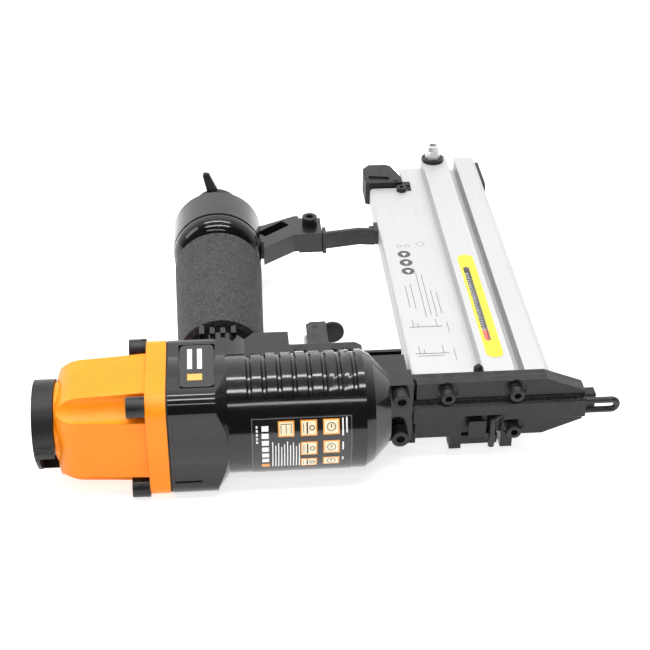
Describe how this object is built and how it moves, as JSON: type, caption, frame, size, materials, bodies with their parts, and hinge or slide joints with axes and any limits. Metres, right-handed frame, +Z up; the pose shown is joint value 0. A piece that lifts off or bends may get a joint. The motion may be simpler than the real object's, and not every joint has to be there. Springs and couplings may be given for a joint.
{
  "type": "pneumatic nail gun",
  "caption": "Pneumatic nail gun with sprung trigger and safety contact, side magazine with pull-out slide and spring pusher, turning exhaust deflector and handle end arm",
  "frame": {"origin": "on the driver axis in the plane of the nose's end face", "axes": "+X is the driving direction, +Y runs along the handle away from the body, +Z is up with the tool lying on its side"},
  "size_m": [0.279, 0.2615, 0.0571],
  "materials": {
    "painted_black": "gloss",
    "painted_orange": "gloss",
    "gasket_paper": "matte",
    "black_oxide_steel": "satin",
    "hardened_steel": "satin",
    "spring_steel": "satin",
    "black_plastic": "matte",
    "rubber": "matte",
    "aluminium": "satin",
    "white_plastic": "satin",
    "brass": "satin",
    "zinc_steel": "satin",
    "red_plastic": "satin",
    "cast_black": "matte",
    "foam": "matte",
    "gloss_label": "gloss",
    "yellow_label": "satin"
  },
  "bodies": {
    "housing": {"body_housing": "painted_black", "nose_block": "painted_black", "cylinder_cap": "painted_orange", "cap_gasket": "gasket_paper", "end_cap_seal": "gasket_paper", "cap_screws": "black_oxide_steel", "trigger_pins": "black_oxide_steel", "nose_plate": "black_oxide_steel", "nose_cover": "black_oxide_steel", "cover_screws": "black_oxide_steel", "flange_screws": "black_oxide_steel", "arm_screw": "black_oxide_steel", "strap_screw": "black_oxide_steel", "rail_screw": "black_oxide_steel", "magazine_strap": "black_oxide_steel", "latch_pin": "black_oxide_steel", "driver_guide": "hardened_steel", "deflector_screw": "hardened_steel", "pusher_rod": "hardened_steel", "rear_bolt": "hardened_steel", "head_valve_spring": "spring_steel", "valve_spring": "spring_steel", "safety_spring": "spring_steel", "pusher_spring": "spring_steel", "rear_plug": "black_plastic", "rail_catch": "black_plastic", "front_catch": "black_plastic", "sleeve_o_rings": "rubber", "bumper": "rubber", "grip_sleeve": "rubber", "cylinder_sleeve": "aluminium", "magazine_rail": "aluminium", "trigger_valve_body": "brass", "rear_nut": "zinc_steel", "air_inlet": "zinc_steel", "handle_end_cap": "cast_black", "muffler_pad": "foam", "badge_plate": "gloss_label", "body_label": "gloss_label", "window_sticker": "yellow_label"},
    "trigger": {"trigger": "black_oxide_steel", "trigger_lever": "hardened_steel", "lever_pin": "hardened_steel"},
    "valve_stem": {"valve_stem": "hardened_steel"},
    "safety": {"safety_wire": "hardened_steel", "safety_linkage": "black_oxide_steel"},
    "driver": {"piston": "aluminium", "piston_o_ring": "rubber", "driver_blade": "hardened_steel"},
    "head_valve": {"head_valve": "white_plastic"},
    "deflector": {"exhaust_deflector": "black_plastic", "deflector_hub": "black_plastic"},
    "magazine_slide": {"magazine_slide": "aluminium", "slide_end_cap": "black_plastic"},
    "pusher": {"pusher": "red_plastic"},
    "latch": {"latch": "black_plastic"},
    "dust_plug": {"dust_plug": "black_plastic"}
  },
  "joints": [
    {"name": "trigger_pull", "type": "hinge", "parent": "housing", "child": "trigger", "pos_m": [-0.1217, 0.036, 0], "axis": [0, 0, 1], "range_deg": [0, 12], "stiffness_Nm_per_rad": 0.9, "springref_deg": -14.32},
    {"name": "valve_stem_slide", "type": "slide", "parent": "housing", "child": "valve_stem", "axis": [-1, 0, 0], "range_m": [0, 0.0025], "deforming": ["valve_spring"]},
    {"name": "safety_slide", "type": "slide", "parent": "housing", "child": "safety", "axis": [-1, 0, 0], "range_m": [0, 0.0105], "stiffness_N_per_m": 250, "springref_m": -0.006, "deforming": ["safety_spring"]},
    {"name": "driver_stroke", "type": "slide", "parent": "housing", "child": "driver", "axis": [1, 0, 0], "range_m": [0, 0.05]},
    {"name": "head_valve_lift", "type": "slide", "parent": "housing", "child": "head_valve", "axis": [-1, 0, 0], "range_m": [0, 0.004], "stiffness_N_per_m": 1500, "springref_m": -0.004, "deforming": ["head_valve_spring"]},
    {"name": "deflector_turn", "type": "hinge", "parent": "housing", "child": "deflector", "pos_m": [-0.2645, 0, 0], "axis": [1, 0, 0], "continuous": true},
    {"name": "magazine_open", "type": "slide", "parent": "housing", "child": "magazine_slide", "axis": [0, 1, 0], "range_m": [0, 0.12]},
    {"name": "pusher_travel", "type": "slide", "parent": "housing", "child": "pusher", "axis": [0, 1, 0], "range_m": [0, 0.08], "stiffness_N_per_m": 60, "springref_m": -0.05, "deforming": ["pusher_spring"]},
    {"name": "latch_press", "type": "hinge", "parent": "housing", "child": "latch", "pos_m": [-0.0715, 0.2108, 0], "axis": [0, 0, -1], "range_deg": [0, 8], "stiffness_Nm_per_rad": 0.3, "springref_deg": -17.19},
    {"name": "dust_plug_pull", "type": "slide", "parent": "housing", "child": "dust_plug", "axis": [0, 1, 0], "range_m": [0, 0.06]}
  ],
  "couplings": [
    {"joint": "valve_stem_slide", "follows": "trigger_pull", "m_per_rad": 0.0118}
  ]
}
